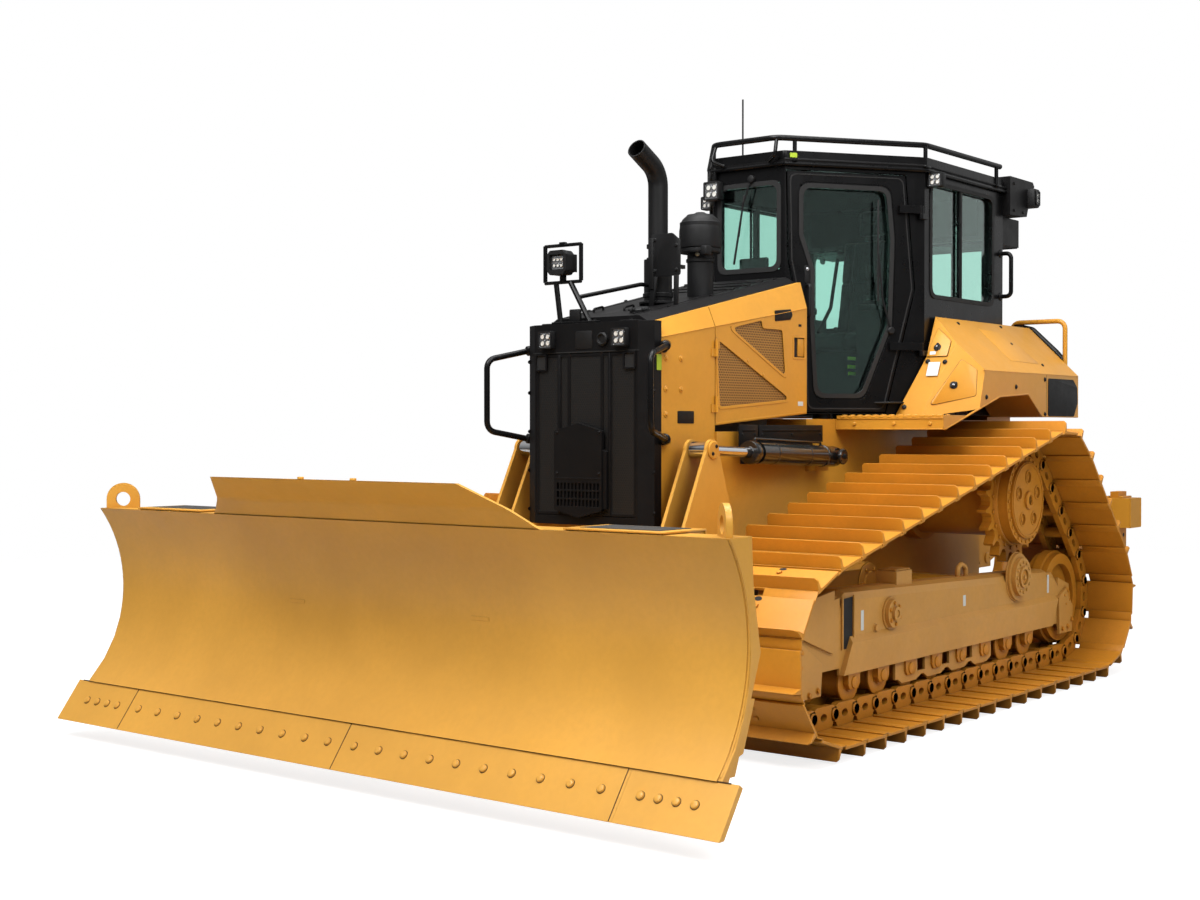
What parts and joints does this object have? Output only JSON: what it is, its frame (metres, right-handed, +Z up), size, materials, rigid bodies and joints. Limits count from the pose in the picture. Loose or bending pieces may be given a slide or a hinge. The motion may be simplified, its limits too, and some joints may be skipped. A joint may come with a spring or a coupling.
{
  "type": "bulldozer",
  "caption": "Tracked bulldozer with a raised power-angle-tilt blade on a C-shaped frame, elevated drive sprockets, hollow cab with swinging doors, hinged engine doors and a rear ripper.",
  "frame": {"origin": "on the ground under the middle of the overall length, between the tracks", "axes": "+X forward to the blade, +Y to the driver's left, +Z up"},
  "size_m": [6.8832, 3.92, 3.43],
  "materials": {
    "machine_yellow": "satin yellow machine paint",
    "track_yellow": "satin yellow paint on cast and forged steel",
    "edge_yellow": "satin yellow paint on bolted edge steel",
    "shank_steel": "painted forged steel with worn tips",
    "black_panel": "satin black paint",
    "cab_black": "semi-gloss black paint",
    "black_plastic": "grained black plastic",
    "engine_metal": "painted cast block",
    "radiator_metal": "black finned core",
    "exhaust_black": "matt heat-proof black",
    "cab_window": "green-tinted safety glass",
    "seat_fabric": "dark woven seat cloth",
    "barrel_black": "gloss black paint",
    "rod_chrome": "hard chrome"
  },
  "bodies": {
    "chassis": {"track_left": "track_yellow", "track_right": "track_yellow", "final_drives": "track_yellow", "idlers": "track_yellow", "rollers": "track_yellow", "track_frames": "machine_yellow", "suspension_shafts": "machine_yellow", "main_case": "machine_yellow", "case_brackets": "machine_yellow", "engine": "engine_metal", "radiator_guard": "black_panel", "radiator": "radiator_metal", "grille": "black_panel", "hood_side_panels": "machine_yellow", "hood_top": "black_panel", "exhaust_stack": "exhaust_black", "air_cleaner": "black_plastic", "lamps": "black_plastic", "nose_loops": "cab_black", "cab_frame": "cab_black", "cab_roof": "black_panel", "cab_glass": "cab_window", "seat_cushion": "seat_fabric", "seat_back": "seat_fabric", "cab_consoles": "black_plastic", "roof_rail": "cab_black", "antenna": "black_plastic", "air_conditioner": "black_panel", "fenders": "machine_yellow", "fuel_tank": "machine_yellow", "handrails": "cab_black", "side_boxes": "black_panel", "ripper_bracket": "machine_yellow"},
    "engine_door_left": {"engine_door_left": "machine_yellow"},
    "engine_door_right": {"engine_door_right": "machine_yellow"},
    "cab_door_left": {"cab_door_left": "cab_black", "cab_door_glass_left": "cab_window"},
    "cab_door_right": {"cab_door_right": "cab_black", "cab_door_glass_right": "cab_window"},
    "c_frame": {"c_frame": "machine_yellow"},
    "lift_barrels": {"lift_barrels": "barrel_black"},
    "lift_rods": {"lift_rods": "rod_chrome"},
    "blade_swivel": {"blade_swivel": "machine_yellow"},
    "blade": {"blade": "machine_yellow", "cutting_edges": "edge_yellow", "lifting_eyes": "machine_yellow"},
    "angle_barrel_left": {"angle_barrel_left": "barrel_black"},
    "angle_rod_left": {"angle_rod_left": "rod_chrome"},
    "angle_barrel_right": {"angle_barrel_right": "barrel_black"},
    "angle_rod_right": {"angle_rod_right": "rod_chrome"},
    "tilt_barrel": {"tilt_barrel": "barrel_black"},
    "tilt_rod": {"tilt_rod": "rod_chrome"},
    "ripper_lower_link": {"ripper_lower_link": "machine_yellow"},
    "ripper_upper_link": {"ripper_upper_link": "machine_yellow"},
    "ripper_beam": {"ripper_beam": "machine_yellow", "ripper_shanks": "shank_steel"},
    "ripper_barrels": {"ripper_barrels": "barrel_black"},
    "ripper_rods": {"ripper_rods": "rod_chrome"}
  },
  "joints": [
    {"name": "engine_door_left_hinge", "type": "hinge", "parent": "chassis", "child": "engine_door_left", "pos_m": [1.15146, 0.42783, 0], "axis": [0, 0, -1], "range_deg": [0, 100]},
    {"name": "engine_door_right_hinge", "type": "hinge", "parent": "chassis", "child": "engine_door_right", "pos_m": [1.15146, -0.42783, 0], "axis": [0, 0, 1], "range_deg": [0, 100]},
    {"name": "cab_door_left_hinge", "type": "hinge", "parent": "chassis", "child": "cab_door_left", "pos_m": [-0.47902, 0.75286, 0], "axis": [0, 0, 1], "range_deg": [0, 100]},
    {"name": "cab_door_right_hinge", "type": "hinge", "parent": "chassis", "child": "cab_door_right", "pos_m": [-0.47902, -0.75286, 0], "axis": [0, 0, -1], "range_deg": [0, 100]},
    {"name": "blade_lift", "type": "hinge", "parent": "chassis", "child": "c_frame", "pos_m": [-0.11354, 0, 0.64], "axis": [0, 1, 0], "range_deg": [-16, 9]},
    {"name": "lift_barrel_pivot", "type": "hinge", "parent": "chassis", "child": "lift_barrels", "pos_m": [0.20646, 0, 1.362], "axis": [0, 1, 0], "range_deg": [-21.36, 12.1]},
    {"name": "lift_rod_slide", "type": "slide", "parent": "lift_barrels", "child": "lift_rods", "axis": [0.9993, 0, 0.0379], "range_m": [-0.18721, 0.10618]},
    {"name": "blade_angle", "type": "hinge", "parent": "c_frame", "child": "blade_swivel", "pos_m": [2.78646, 0, 0.64], "axis": [0, 0, 1], "range_deg": [-24, 24]},
    {"name": "blade_tilt", "type": "hinge", "parent": "blade_swivel", "child": "blade", "pos_m": [2.78646, 0, 0.64], "axis": [1, 0, 0], "range_deg": [-6, 6]},
    {"name": "angle_barrel_left_pivot", "type": "hinge", "parent": "c_frame", "child": "angle_barrel_left", "pos_m": [1.98146, 0.56, 0.85], "axis": [0, 0, 1], "range_deg": [-4.94, 4.94]},
    {"name": "angle_rod_left_slide", "type": "slide", "parent": "angle_barrel_left", "child": "angle_rod_left", "axis": [1, 0, 0], "range_m": [-0.23422, 0.23422]},
    {"name": "angle_barrel_right_pivot", "type": "hinge", "parent": "c_frame", "child": "angle_barrel_right", "pos_m": [1.98146, -0.56, 0.85], "axis": [0, 0, 1], "range_deg": [-4.94, 4.94]},
    {"name": "angle_rod_right_slide", "type": "slide", "parent": "angle_barrel_right", "child": "angle_rod_right", "axis": [1, 0, 0], "range_m": [-0.23422, 0.23422]},
    {"name": "tilt_barrel_pivot", "type": "hinge", "parent": "blade_swivel", "child": "tilt_barrel", "pos_m": [2.94146, 0, 1.01], "axis": [1, 0, 0], "range_deg": [-6.2, 6.2]},
    {"name": "tilt_rod_slide", "type": "slide", "parent": "tilt_barrel", "child": "tilt_rod", "axis": [0, -1, 0], "range_m": [-0.04068, 0.04068]},
    {"name": "ripper_lift", "type": "hinge", "parent": "chassis", "child": "ripper_lower_link", "pos_m": [-2.23354, 0, 0.64], "axis": [0, -1, 0], "range_deg": [-3, 42]},
    {"name": "ripper_upper_pivot", "type": "hinge", "parent": "chassis", "child": "ripper_upper_link", "pos_m": [-2.23354, 0, 1.03], "axis": [0, -1, 0], "range_deg": [-3.2, 42.2]},
    {"name": "ripper_beam_pivot", "type": "hinge", "parent": "ripper_lower_link", "child": "ripper_beam", "pos_m": [-3.15159, 0, 0.92068], "axis": [0, -1, 0], "range_deg": [-42.2, 3.2]},
    {"name": "ripper_barrel_pivot", "type": "hinge", "parent": "chassis", "child": "ripper_barrels", "pos_m": [-2.29354, 0, 1.4], "axis": [0, -1, 0], "range_deg": [-2.22, 28.43]},
    {"name": "ripper_rod_slide", "type": "slide", "parent": "ripper_barrels", "child": "ripper_rods", "axis": [-0.8852, 0, -0.4651], "range_m": [-0.03338, 0.44137]}
  ],
  "couplings": [
    {"joint": "lift_barrel_pivot", "follows": "blade_lift", "ratio": 1.3222},
    {"joint": "lift_rod_slide", "follows": "blade_lift", "m_per_rad": 0.66323},
    {"joint": "angle_barrel_left_pivot", "follows": "blade_angle", "ratio": 0.19746},
    {"joint": "angle_rod_left_slide", "follows": "blade_angle", "m_per_rad": -0.55438},
    {"joint": "angle_barrel_right_pivot", "follows": "blade_angle", "ratio": 0.19746},
    {"joint": "angle_rod_right_slide", "follows": "blade_angle", "m_per_rad": 0.55438},
    {"joint": "tilt_barrel_pivot", "follows": "blade_tilt", "ratio": 1.0003},
    {"joint": "tilt_rod_slide", "follows": "blade_tilt", "m_per_rad": 0.36932},
    {"joint": "ripper_upper_pivot", "follows": "ripper_lift", "ratio": 1},
    {"joint": "ripper_beam_pivot", "follows": "ripper_lift", "ratio": -1},
    {"joint": "ripper_barrel_pivot", "follows": "ripper_lift", "ratio": 0.6722},
    {"joint": "ripper_rod_slide", "follows": "ripper_lift", "m_per_rad": 0.59938}
  ]
}
